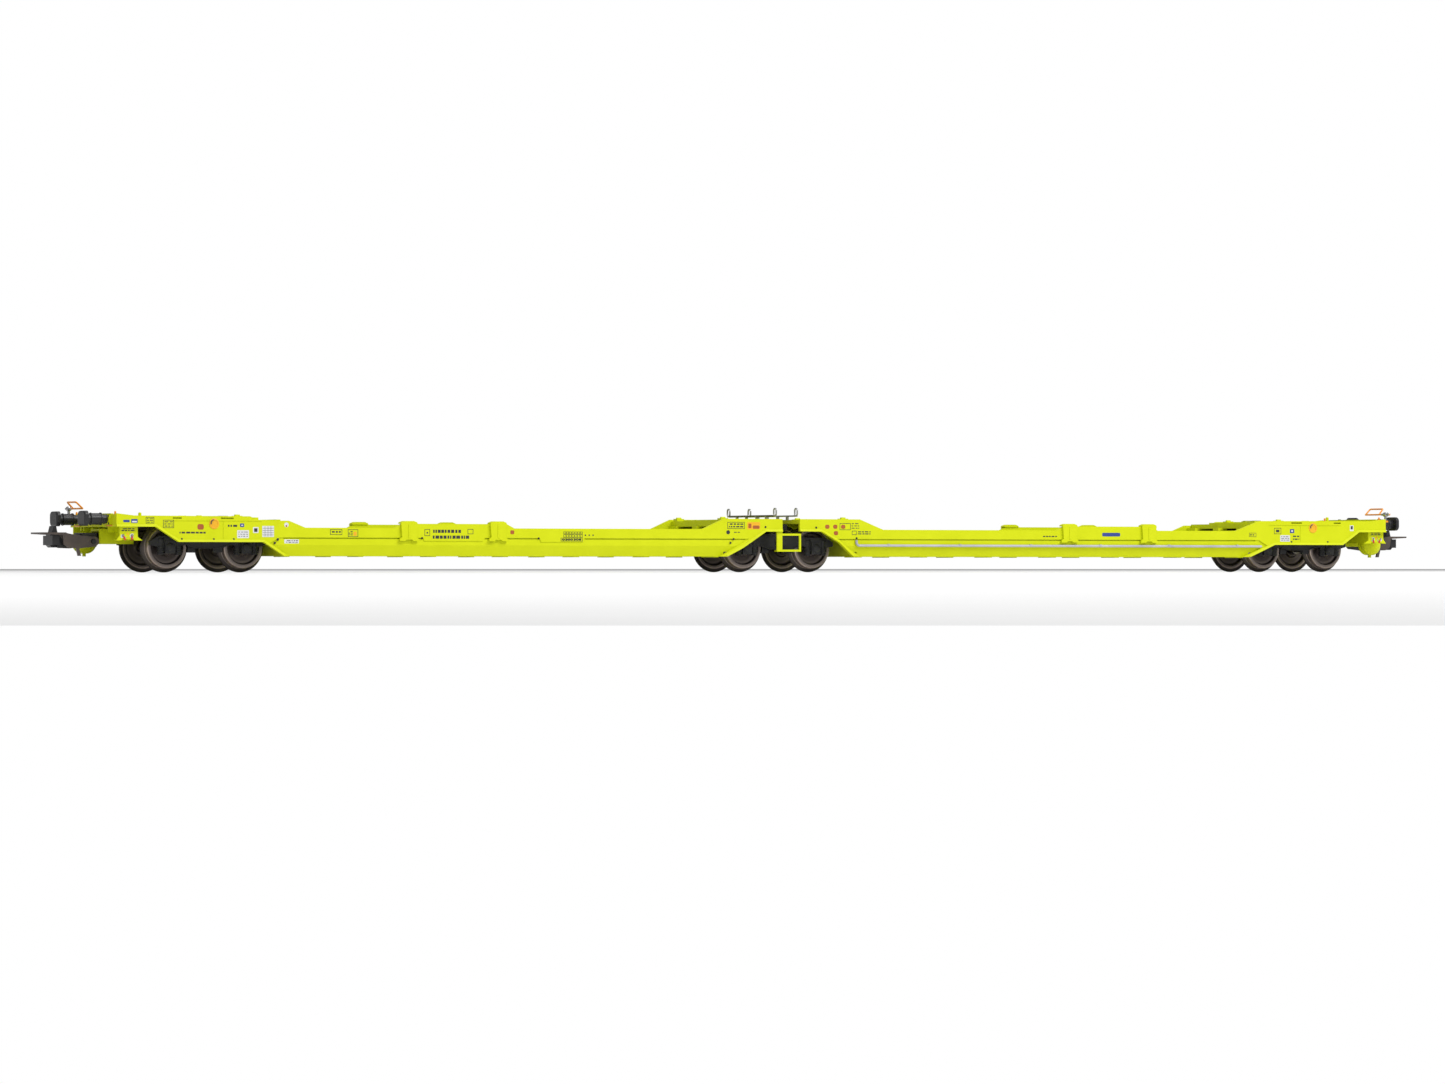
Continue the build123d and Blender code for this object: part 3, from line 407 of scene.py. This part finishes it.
def mark_stepped(sign, side, ink):
    """Markings of the side with the stepped platform edge."""
    black, blue, white, amber, brick = (ink[n] for n in ("black", "blue", "white", "amber", "brick"))
    spot = (sign, side)
    blue.panel(spot, (185.9, 187.6), (11.5, 12.1))
    blue.panel(spot, (183.8, 185.5), (11.3, 12.3))
    white.panel(spot, (184.0, 185.3), (11.45, 11.85), lift=OVER)
    black.rows(spot, (185.8, 187.4), (10.7, 11.1), count=1, height=0.16)
    black.frame(spot, (179.4, 181.6), (11.1, 12.8))
    black.rows(spot, (179.7, 181.3), (11.3, 12.6), count=3, height=0.16)
    black.frame(spot, (174.1, 177.0), (10.1, 12.1))
    black.rows(spot, (174.4, 176.7), (10.3, 11.9), count=3, height=0.2)
    black.rows(spot, (165.6, 172.6), (8.5, 9.4), count=1, height=0.42)
    brick.panel(spot, (166.1, 167.8), (9.7, 11.1), radius=0.45)
    black.rows(spot, (157.1, 160.1), (10.3, 11.1), count=1, height=0.5)
    blue.panel(spot, (155.2, 156.3), (10.4, 11.3))
    white.panel(spot, (155.5, 156.0), (10.7, 11.0), radius=0.1, lift=OVER)
    white.panel(spot, (153.9, 157.1), (7.6, 9.6))
    black.rows(spot, (154.2, 156.8), (7.8, 9.4), count=3, height=0.14, lift=OVER)
    white.panel(spot, (151.3, 152.8), (8.9, 10.4))
    black.panel(spot, (151.6, 152.5), (9.2, 10.1), radius=0.1, lift=OVER)
    white.panel(spot, (147.1, 150.3), (7.9, 10.7))
    rule = 0.07
    for column in range(3):
        u = 147.9 + 0.8 * column
        black.panel(spot, (u, u + rule), (8.0, 10.6), radius=0.02, lift=OVER)
    for row in range(4):
        z = 8.4 + 0.56 * row
        black.panel(spot, (147.2, 150.2), (z, z + rule), radius=0.02, lift=OVER)
    white.dot(spot, 143.7, 11.0, 0.6)
    brick.dot(spot, 143.7, 10.7, 0.24, lift=OVER)
    white.panel(spot, (140.2, 144.2), (6.3, 7.3), face=BAND_Y)
    black.rows(spot, (140.5, 143.9), (6.4, 7.2), count=2, height=0.16, face=BAND_Y, lift=OVER)
    black.frame(spot, (128.4, 131.7), (8.5, 9.9))
    black.rows(spot, (128.8, 131.3), (8.8, 9.7), count=1, height=0.4)
    black.frame(spot, (124.0, 126.8), (8.0, 9.9))
    amber.panel(spot, (124.4, 125.3), (8.3, 9.3), radius=0.2)
    black.rows(spot, (125.5, 126.6), (8.3, 9.6), count=3, height=0.2)
    black.frame(spot, (104.0, 105.5), (8.3, 10.0))
    black.dot(spot, 104.75, 9.1, 0.22)
    black.rows(spot, (95.3, 103.2), (8.9, 10.1), count=1, height=0.8)
    black.rows(spot, (93.0, 103.2), (7.4, 8.6), count=1, height=0.8)
    black.frame(spot, (91.8, 93.4), (8.8, 10.1))
    brick.panel(spot, (80.2, 81.3), (8.8, 9.8), radius=0.3)
    for column in range(8):
        u = 60.6 + 0.8 * column
        black.frame(spot, (u, u + 0.7), (7.0, 7.9), line=0.1)
        if column < 7:
            black.frame(spot, (u, u + 0.7), (8.0, 8.8), line=0.1)
            black.frame(spot, (u, u + 0.7), (8.9, 9.5), line=0.1)
    black.rows(spot, (61.0, 66.6), (7.2, 7.7), count=1, height=0.3)
    for u in (57.6, 58.7, 59.8):
        black.dot(spot, u, 8.6, 0.2)
    black.frame(spot, (13.2, 18.3), (10.4, 12.2))
    black.rows(spot, (13.6, 17.9), (10.6, 12.0), count=2, height=0.34)
    amber.panel(spot, (8.6, 12.4), (10.3, 12.2))
    brick.panel(spot, (8.8, 10.8), (10.45, 11.3), radius=0.3, lift=OVER)
    brick.panel(spot, (11.2, 12.1), (10.6, 11.8), radius=0.2, lift=OVER)
    black.dot(spot, 18.1, 9.5, 0.55)
    black.rows(spot, (14.6, 16.4), (9.3, 9.7), count=1, height=0.2)


def mark_straight(sign, side, ink):
    """Markings of the side with the straight platform edge."""
    black, blue, white, brick = (ink[n] for n in ("black", "blue", "white", "brick"))
    spot = (sign, side)
    for u, z in ((10.9, 10.5), (13.3, 10.5), (15.7, 10.5), (13.5, 8.8)):
        brick.panel(spot, (u, u + 1.3), (z, z + 1.1), radius=0.45)
    black.frame(spot, (15.3, 18.6), (10.2, 12.0))
    black.rows(spot, (18.9, 21.2), (10.4, 12.2), count=3, height=0.2)
    black.frame(spot, (19.0, 20.4), (8.9, 10.0))
    black.rows(spot, (20.8, 25.0), (8.9, 10.0), count=2, height=0.26)
    blue.panel(spot, (96.7, 102.4), (8.7, 9.7), radius=0.3)
    black.rows(spot, (78.0, 82.4), (8.4, 8.9), count=1, height=0.3)
    black.frame(spot, (144.1, 146.4), (8.7, 9.8), line=0.1)
    black.rows(spot, (144.4, 146.1), (8.9, 9.6), count=1, height=0.3)
    black.frame(spot, (152.3, 154.6), (9.5, 11.2))
    black.panel(spot, (152.9, 154.0), (10.0, 10.7), radius=0.1)
    blue.panel(spot, (157.5, 158.9), (9.8, 10.9))
    white.panel(spot, (157.9, 158.5), (10.1, 10.6), radius=0.1, lift=OVER)
    white.panel(spot, (154.3, 157.5), (7.4, 9.2))
    black.rows(spot, (154.6, 157.2), (7.6, 9.0), count=3, height=0.14, lift=OVER)
    black.rows(spot, (158.5, 160.6), (7.7, 9.3), count=2, height=0.36)
    white.panel(spot, (177.4, 178.6), (10.4, 12.0))
    black.panel(spot, (177.65, 178.35), (10.9, 11.8), radius=0.1, lift=OVER)


def panel_start(sign, side):
    """Inner end of the brake panel on this side."""
    return 184.3 if side == sign else 185.1


def mark_panels(sign, side, ink):
    """Markings on one brake panel."""
    start = panel_start(sign, side)
    spot = (sign, side)
    ink["black"].rows(spot, (start, start + 3.4), (9.2, 10.1), count=2, height=0.24, face=PANEL_Y)
    ink["amber"].panel(spot, (start + 1.5, start + 2.1), (8.3, 8.9), radius=0.2, face=PANEL_Y)
    ink["white"].dot(spot, start + 0.6, 8.1, 0.6, face=PANEL_Y)
    ink["white"].panel(spot, (start + 2.1, start + 3.6), (7.6, 8.4), radius=0.2, face=PANEL_Y)


def add_markings():
    colours = {"black": INK, "blue": BLUE, "white": WHITE, "amber": AMBER, "brick": BRICK}
    for key, sign in SIGNS.items():
        ink = {name: Print() for name in colours}
        mark_stepped(sign, sign, ink)
        mark_straight(sign, -sign, ink)
        for side in (-1, 1):
            mark_panels(sign, side, ink)
        for name, sheet in ink.items():
            sheet.piece.finish(f"{key}_markings_{name}", f"half_{key}", "lime_body", colours[name])


# ---- body details --------------------------------------------------------------
def add_side_plates(key, sign):
    """Marking boards that hang below the upper web, and their corner screws."""
    boards = Piece()
    top = 7.9
    taper = 0.5
    for low, high, foot in ((88.4, 106.0, 7.0), (59.9, 73.0, 6.8)):
        outline = [
            (sign * low, top), (sign * (low + taper), foot),
            (sign * (high - taper), foot), (sign * high, top),
        ]
        boards.prism(outline, on_side(sign, BAND_Y), -0.05, PLATE_Y - BAND_Y - 0.01)
    boards.finish(f"{key}_marking_boards", f"half_{key}", "lime_body", LIME, 0.04)
    bolts = Piece()
    face = on_side(sign, PLATE_Y)
    for u, z in ((172.0, 7.3), (163.4, 7.3), (158.0, 7.3), (16.5, 7.7), (17.4, 6.7), (7.0, 10.9)):
        bolts.bolt(sign * u, z, face, 0.22, 0.16)
    for u in (73.2, 106.2):
        bolts.bolt(sign * u, 7.75, face, 0.2, 0.12)
    other = on_side(-sign, PLATE_Y)
    for u, z in ((170.0, 7.3), (158.0, 7.3), (8.2, 10.8), (20.4, 8.0)):
        bolts.bolt(sign * u, z, other, 0.22, 0.16)
    bolts.finish(f"{key}_side_bolts", f"half_{key}", "black_plastic", BLACK)


# Lower edges of the platform side plates, as (u, height): inner platform, then outer platform.
UNDERS = {
    "a": (
        ((1.9, 9.7), (6.9, 9.7), (13.7, 5.4), (18.4, 3.1)),
        ((144.4, 3.1), (150.0, 6.6), (172.9, 6.6), (179.0, 10.4), (HEADSTOCK_U, 10.4)),
    ),
    "b": (
        ((3.3, 9.8), (9.8, 9.75), (15.0, 6.87), (19.3, 3.1)),
        ((144.3, 3.1), (152.4, 6.5), (174.9, 6.5), (180.4, 10.1), (HEADSTOCK_U, 10.1)),
    ),
}
RIM_H = 0.62                    # height of the chamfered rim


def shifted(points, amount):
    """The open outline moved up by amount, square to its runs."""
    moved = []
    for index, (u, v) in enumerate(points):
        before = Vector(points[max(index - 1, 0)])
        after = Vector(points[min(index + 1, len(points) - 1)])
        here = Vector((u, v))
        runs = [run.normalized() for run in (here - before, after - here) if run.length > 0]
        normals = [Vector((-run.y, run.x)) for run in runs]
        mean = (normals[0] + normals[-1]).normalized()
        moved.append(here + mean * (amount / max(0.4, mean.dot(normals[0]))))
    return moved


def add_rims(key, sign):
    """Chamfered rim along the lower edges of the platform side plates."""
    rims = Piece()
    for side in (-1, 1):
        for points in UNDERS[key]:
            upper = shifted(points, RIM_H)
            place = on_side(side, PLATE_Y)
            rings = []
            for (low_u, low_v), (high_u, high_v) in zip(points, upper):
                section = (
                    (low_u, low_v, -0.1), (low_u, low_v, 0.42),
                    (high_u, high_v, 0.1), (high_u, high_v, -0.1),
                )
                rings.append([rims.mesh.verts.new(place(sign * u, v, w)) for u, v, w in section])
            for first, second in zip(rings, rings[1:]):
                for start in range(4):
                    end = (start + 1) % 4
                    rims.mesh.faces.new((first[start], first[end], second[end], second[start]))
            rims.mesh.faces.new(rings[0])
            rims.mesh.faces.new(rings[-1])
    rims.finish(f"{key}_edge_rims", f"half_{key}", "lime_body", LIME, 0.03)


def add_articulation_block():
    """Black rubber block in the gap between the platforms, and the olive sleeve on the bar."""
    block = Piece()
    middle_x = -0.4
    block.prism(rounded(middle_x, 0, 4.4, 24.6, 0.6), on_top(10.2), 0, 1.45)
    block.prism(rounded(middle_x, 0, 3.6, 23.6, 0.5), on_top(9.7), 0, 0.6)
    block.finish("articulation_block", "half_a", "black_plastic", RUBBER, 0.08)
    bar_x, bar_y, bar_z = -2.7, 12.9, 13.9
    route = [(bar_x, -bar_y, bar_z), (bar_x, bar_y, bar_z)]
    wires("a_bar_sleeve", "half_a", OLIVE, [route], 0.28)


def add_rope_eye(key, sign, side, u):
    """Round recess plate with a dark towing hook across it."""
    x = sign * u
    side_word = "near" if side < 0 else "far"
    profile = [(0, 0), (1.35, 0), (1.35, 0.1), (1.2, 0.16), (0.95, 0.16), (0.85, 0.06), (0, 0.06)]
    plate = Piece()
    plate.lathe(profile, x, EYE_Z, on_side(side, PLATE_Y), 36)
    plate.finish(f"{key}_rope_eye_{side_word}", f"half_{key}", "orange_wire", AMBER)
    hook_y = side * (PLATE_Y + 0.25)
    steps = 8
    route = []
    for step in range(steps + 1):
        angle = math.radians(100 + 110 * step / steps)
        route.append((x + 0.9 * math.cos(angle), hook_y, EYE_Z + 0.3 + 0.7 * math.sin(angle)))
    wires(f"{key}_rope_hook_{side_word}", f"half_{key}", BRONZE, [route], 0.14)


def add_levers(key, sign):
    """Red change-over levers and their pivot bosses on both brake panels."""
    levers = Piece()
    bosses = Piece()
    high, low = 8.35, 7.0
    for side in (-1, 1):
        start = panel_start(sign, side)
        face = on_side(side, PANEL_Y)
        for u, tilt in ((start + 0.6, 0.15), (start + 3.0, -0.5)):
            outline = [
                (sign * (u - 0.16), high), (sign * (u + 0.16), high),
                (sign * (u + tilt + 0.22), low), (sign * (u + tilt - 0.22), low),
            ]
            levers.prism(outline, face, 0.12, 0.34)
            bosses.bolt(sign * u, 8.2, face, 0.26, 0.42)
    levers.finish(f"{key}_brake_levers", f"half_{key}", "orange_wire", RED, 0.05)
    bosses.finish(f"{key}_lever_bosses", f"half_{key}", "screw_steel", STEEL)


def add_track_treads(key, sign):
    """Slanted tread strips along both wheel tracks of the pocket floor."""
    strips = Piece()
    count = 96
    half_width = 0.12
    slant = 0.35
    margin = 0.6
    start = TRACK_INNER_U[key] + margin
    pitch = (TRACK_OUTER_U - TRACK_INNER_U[key] - 2 * margin) / count
    near_y, far_y = TRACK_Y
    for side in (-1, 1):
        for index in range(count):
            u = start + pitch * (index + 0.5)
            lean = slant if index % 2 else -slant
            outline = [
                (sign * (u - half_width), side * near_y),
                (sign * (u + half_width), side * near_y),
                (sign * (u + half_width + lean), side * far_y),
                (sign * (u - half_width + lean), side * far_y),
            ]
            strips.prism(outline, on_top(TRACK_TOP), -0.02, 0.07)
    strips.finish(f"{key}_wheel_track_treads", f"half_{key}", "lime_body", LIME)


def add_deck_bolts(key, sign):
    """Bolt rows on the outer and the inner platform."""
    bolts = Piece()
    for u in (160.0, 174.8, 178.6, 182.6):
        for y in (-13.9, -9.0, 9.0, 13.9):
            on_strip = u == 160.0 and abs(y) == 9.0
            bolts.bolt(sign * u, y, on_top(STRIP_TOP if on_strip else DECK_TOP), 0.24, 0.16)
    for u in (9.6, 14.6):
        for y in (-13.6, -9.5, 9.5, 13.6):
            bolts.bolt(sign * u, y, on_top(DECK_TOP), 0.24, 0.16)
    bolts.finish(f"{key}_deck_bolts", f"half_{key}", "lime_trim", LIME)


def add_platform_nubs(key, sign):
    """Small upright stop beside the opening of the outer platform, and two plugs in the slope."""
    nub = Piece()
    profile = [(0, 0), (0.62, 0), (0.62, 0.3), (0.42, 0.45), (0.42, 1.2), (0.3, 1.4), (0, 1.45)]
    nub.lathe(profile, sign * 172.0, -sign * 13.0, on_top(DECK_TOP), 24)
    nub.finish(f"{key}_platform_nub", f"half_{key}", "lime_trim", LIME, 0.03)
    plugs = Piece()
    for u, z, radius in ((146.1, 7.3, 0.34), (146.9, 6.4, 0.3)):
        profile = [(0, 0), (radius, 0), (radius, 0.12), (radius * 0.6, 0.2), (0, 0.2)]
        plugs.lathe(profile, sign * u, z, on_side(sign, PLATE_Y), 18)
    plugs.finish(f"{key}_slope_plugs", f"half_{key}", "black_plastic", BLACK)


def add_buffer_details(key, sign):
    """Flange bolts and two wear rings on each buffer."""
    rings = Piece()
    bolts = Piece()
    flange = on_end(sign * (HEADSTOCK_U + 0.35), sign)
    for y in (-BUFFER_Y, BUFFER_Y):
        for corner_y in (-1.7, 1.7):
            for z in (11.2, 13.1):
                bolts.bolt(y + corner_y, z, flange, 0.2, 0.16)
        for u, radius, outer, width in ((193.8, 1.45, 1.58, 0.35), (194.9, 1.2, 1.32, 0.25)):
            profile = [(radius, 0), (outer, 0.05), (outer, width - 0.05), (radius, width)]
            rings.lathe(profile, y, BUFFER_Z, on_end(sign * u, sign), 32)
    rings.finish(f"{key}_buffer_rings", f"half_{key}", "black_plastic", BLACK)
    bolts.finish(f"{key}_buffer_bolts", f"half_{key}", "black_plastic", BLACK)


def add_headstock_details(key, sign):
    """Marker pins, edge strips and the hand rail arm's sleeve."""
    pins = Piece()
    profile = [(0, 0), (0.42, 0), (0.42, 0.1), (0.26, 0.18), (0.26, 0.62), (0.14, 0.8), (0, 0.82)]
    for y in (-13.8, 13.8):
        pins.lathe(profile, sign * (HEADSTOCK_U - 0.6), y, on_top(BEAM_TOP), 20)
    pins.finish(f"{key}_marker_pins", f"half_{key}", "orange_wire", ORANGE)
    strips = Piece()
    for low, high in ((-13.4, -9.6), (9.6, 13.4)):
        strips.bar((low, high), (10.55, 10.85), on_end(sign * HEADSTOCK_U, sign), -0.02, 0.3)
    strips.finish(f"{key}_edge_strips", f"half_{key}", "orange_wire", ORANGE, 0.05)
    sleeve = Piece()
    side = -sign
    along_arm = [
        (0.2, 0), (0.3, 0.05), (0.3, 1.3), (0.62, 1.4),
        (0.62, 2.6), (0.3, 2.7), (0.3, 3.95), (0.2, 4.0),
    ]
    sleeve.lathe(along_arm, sign * ARM_U, ARM_Z, on_side(side, 12.1), 24)
    on_stem = [(0.28, 0), (0.36, 0.05), (0.36, 1.3), (0.28, 1.35)]
    sleeve.lathe(on_stem, sign * ARM_U, side * STEM_Y, on_top(BEAM_TOP - 0.1), 24)
    sleeve.finish(f"{key}_arm_sleeve", f"half_{key}", "screw_steel", STEEL)


def add_trestle_pads(key, sign):
    """Rubber pads and a kingpin ring on the folded trestle."""
    pads = Piece()
    for side in (-1, 1):
        outline = rounded(sign * 155.4, side * 2.3, 2.2, 1.8, 0.3)
        pads.prism(outline, on_top(13.2), 0.0, 0.14)
    pads.finish(f"{key}_trestle_pads", f"trestle_{key}", "black_plastic", RUBBER, 0.04)
    ring = Piece()
    hole, rim, height = 0.76, 1.15, 0.1
    profile = [(hole, 0), (rim, 0), (rim, height), (hole, height), (hole, 0)]
    ring.lathe(profile, sign * 155.0, 0, on_top(12.94), 28)
    ring.finish(f"{key}_kingpin_ring", f"trestle_{key}", "screw_steel", STEEL)


# ---- bogie details ---------------------------------------------------------------
def dress_axle_box(covers, ribs, side, axle_x):
    """Round cover with four bolts, and the rib over the box."""
    face = on_side(side, BOX_Y)
    profile = [(0, 0), (1.2, 0), (1.2, 0.12), (1.02, 0.2), (0.95, 0.34), (0.5, 0.42), (0, 0.44)]
    covers.lathe(profile, axle_x, TREAD_R, face, 32)
    bolt_circle = 0.95
    for angle in (45, 135, 225, 315):
        turn = math.radians(angle)
        x = axle_x + bolt_circle * math.cos(turn)
        z = TREAD_R + bolt_circle * math.sin(turn)
        covers.bolt(x, z, face, 0.13, 0.26)
    ribs.prism(rounded(axle_x, 7.35, 3.4, 0.7, 0.25), on_side(side, WEB_Y), 0, 0.35)


def spring_route(side, x):
    """Helix of one coil spring."""
    turns, steps = 4, 12
    route = []
    for step in range(turns * steps + 1):
        angle = 2 * math.pi * step / steps
        route.append((
            x + SPRING_R * math.cos(angle),
            side * (SPRING_Y + SPRING_R * math.sin(angle)),
            SPRING_LOW + (SPRING_HIGH - SPRING_LOW) * step / (turns * steps),
        ))
    return route


def add_spring_seats(ribs, side, x):
    """Plates below and above one coil spring."""
    radius = 0.95
    lower = [(0, 0), (radius, 0), (radius, 0.16), (0, 0.16)]
    upper = [(0, 0), (radius, 0), (radius, 0.2), (0.6, 0.3), (0, 0.3)]
    ribs.lathe(lower, x, side * SPRING_Y, on_top(3.4), 24)
    ribs.lathe(upper, x, side * SPRING_Y, on_top(7.1), 24)


# Flanges of the bogie's side frame, as (distance from its middle, height).
UPPER_FLANGE = (
    (0, 9.1), (4.4, 9.1), (7.2, 8.15), (13.2, 8.15), (15.4, 7.0),
    (15.2, 6.85), (13.1, 7.9), (7.1, 7.9), (4.3, 8.8), (0, 8.8),
)
LOWER_FLANGE = ((0, 5.0), (3.2, 5.0), (6.3, 5.95), (6.2, 6.2), (3.1, 5.25), (0, 5.25))


def dress_side_frame(ribs, side, x0):
    """Flanges, and the centre plate with its boss and bolts."""
    web = on_side(side, WEB_Y)
    for flip in (-1, 1):
        for flange in (UPPER_FLANGE, LOWER_FLANGE):
            ribs.prism([(x0 + flip * u, z) for u, z in flange], web, 0, 0.3)
    thickness = 0.28
    ribs.prism(rounded(x0, 7.0, 3.6, 2.2, 0.4), web, 0, thickness)
    plate = on_side(side, WEB_Y + thickness)
    for step in (-1.2, 1.2):
        for z in (7.6, 6.4):
            ribs.bolt(x0 + step, z, plate, 0.2, 0.14)
    ribs.lathe([(0, 0), (0.75, 0), (0.75, 0.3), (0.55, 0.45), (0, 0.45)], x0, 7.0, plate, 24)


def add_bogie_details(bogie, x0):
    """Coil springs, axle-box covers and frame ribs of one bogie."""
    coils = []
    covers = Piece()
    ribs = Piece()
    for side in (-1, 1):
        for end in (-1, 1):
            axle_x = x0 + end * HALF_BASE
            dress_axle_box(covers, ribs, side, axle_x)
            for spring in (-SPRING_X, SPRING_X):
                coils.append(spring_route(side, axle_x + spring))
                add_spring_seats(ribs, side, axle_x + spring)
        dress_side_frame(ribs, side, x0)
    wires(f"{bogie}_coil_springs", bogie, BOGIE, coils, 0.15)
    covers.finish(f"{bogie}_axle_box_covers", bogie, "bogie_black", BOGIE)
    ribs.finish(f"{bogie}_frame_ribs", bogie, "bogie_black", BOGIE, 0.04)


# ---- studio -----------------------------------------------------------------------
def add_floor():
    """Pale disc under the wagon."""
    data = bpy.data.meshes.new("studio_floor")
    mesh = bmesh.new()
    bmesh.ops.create_circle(mesh, cap_ends=True, radius=6.0, segments=96)
    mesh.to_mesh(data)
    mesh.free()
    floor = bpy.data.objects.new("studio_floor", data)
    bpy.context.scene.collection.objects.link(floor)
    paint = surface("pale_floor", (0.84, 0.84, 0.84), (0.83, 0.83, 0.83), 0.85, 0.03, bump=0.0)
    data.materials.append(paint)


def add_light(name, location, target, size, power):
    """Area light. Places and sizes are metres, the power is watts."""
    data = bpy.data.lights.new(name, "AREA")
    data.shape = "RECTANGLE"
    data.size, data.size_y = size
    data.energy = power
    lamp = bpy.data.objects.new(name, data)
    bpy.context.scene.collection.objects.link(lamp)
    lamp.location = location
    lamp.rotation_euler = (Vector(target) - Vector(location)).to_track_quat("-Z", "Y").to_euler()


def add_studio():
    """Three area lights, a soft fill, and a white backdrop that only the camera sees."""
    world = bpy.data.worlds.new("studio")
    world.use_nodes = True
    nodes = world.node_tree.nodes
    links = world.node_tree.links
    fill = nodes["Background"]
    fill.inputs["Color"].default_value = (1, 1, 1, 1)
    fill.inputs["Strength"].default_value = 0.4
    backdrop = nodes.new("ShaderNodeBackground")
    backdrop.inputs["Strength"].default_value = 1.0
    backdrop.inputs["Color"].default_value = (1, 1, 1, 1)
    seen = nodes.new("ShaderNodeLightPath")
    mix = nodes.new("ShaderNodeMixShader")
    links.new(seen.outputs["Is Camera Ray"], mix.inputs["Fac"])
    links.new(fill.outputs["Background"], mix.inputs[1])
    links.new(backdrop.outputs["Background"], mix.inputs[2])
    links.new(mix.outputs["Shader"], nodes["World Output"].inputs["Surface"])
    bpy.context.scene.world = world
    add_light("key", (0.45, -1.15, 1.3), (0.05, 0, 0), (1.3, 0.7), 24.0)
    add_light("top", (0.25, 0.2, 1.5), (0, 0, 0), (1.2, 0.5), 7.0)
    add_light("front", (-0.9, -0.9, 0.25), (0, 0, 0), (0.7, 0.4), 1.0)


def add_camera():
    """Long lens at rail height, from the left front."""
    azimuth = math.radians(27.051)
    pitch = math.radians(0.276)
    data = bpy.data.cameras.new("camera")
    data.lens = 135.9
    data.sensor_width = 36.0
    camera = bpy.data.objects.new("camera", data)
    bpy.context.scene.collection.objects.link(camera)
    camera.location = at(-673.3, -1296.1, 0)
    camera.rotation_euler = (math.pi / 2 + pitch, 0, -azimuth)
    bpy.context.scene.camera = camera


# ---- build -------------------------------------------------------------------------
dress_nodes()
add_markings()
for key, sign in SIGNS.items():
    add_side_plates(key, sign)
    add_rims(key, sign)
    add_rope_eye(key, sign, sign, STEPPED_EYE_U)
    add_rope_eye(key, sign, -sign, STRAIGHT_EYE_U)
    add_levers(key, sign)
    add_track_treads(key, sign)
    add_deck_bolts(key, sign)
    add_platform_nubs(key, sign)
    add_buffer_details(key, sign)
    add_headstock_details(key, sign)
    add_trestle_pads(key, sign)
add_articulation_block()
for bogie, x0 in BOGIES.items():
    add_bogie_details(bogie, x0)
add_floor()
add_studio()
add_camera()
